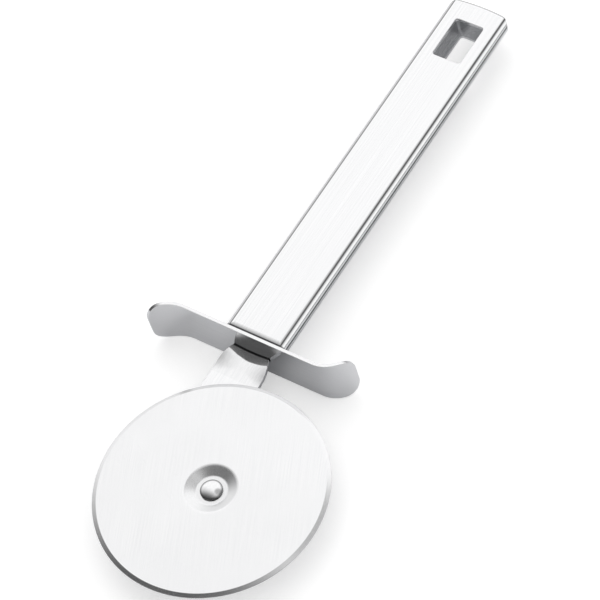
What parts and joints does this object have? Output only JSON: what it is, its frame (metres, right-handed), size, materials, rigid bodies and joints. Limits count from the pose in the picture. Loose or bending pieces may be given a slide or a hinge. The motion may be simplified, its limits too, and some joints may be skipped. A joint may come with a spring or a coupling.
{
  "type": "pizza cutter wheel",
  "caption": "Pizza cutter: a thin bevelled steel wheel on a cranked arm, a curled finger guard and a hollow steel handle with a hanging slot.",
  "frame": {"origin": "under the middle of the whole cutter's bounding box, level with the finger guard's lower edge, on which the cutter lies", "axes": "+X runs from the wheel to the handle's tail, +Y towards the thumb, +Z out of the handle's face, along the wheel's axle"},
  "size_m": [0.2136, 0.0834, 0.0174],
  "materials": {
    "blade_steel": "fine straight brushing, polished bevel",
    "rivet_steel": "polished",
    "arm_steel": "polished",
    "guard_steel": "fine satin, bright cut edges",
    "handle_steel": "fine satin, polished shoulder",
    "sleeve_steel": "satin, drawn tube"
  },
  "bodies": {
    "handle": {"axle_rivet": "rivet_steel", "spacer_washer": "rivet_steel", "wheel_arm": "arm_steel", "finger_guard": "guard_steel", "handle_face": "handle_steel", "handle_back": "handle_steel", "hang_hole_sleeve": "sleeve_steel", "tang_plug": "arm_steel"},
    "wheel": {"cutting_wheel": "blade_steel"}
  },
  "joints": [
    {"name": "wheel_spin", "type": "hinge", "parent": "handle", "child": "wheel", "pos_m": [-0.07178, -0.0067, 0.0092], "axis": [0, 0, 1], "continuous": true}
  ]
}
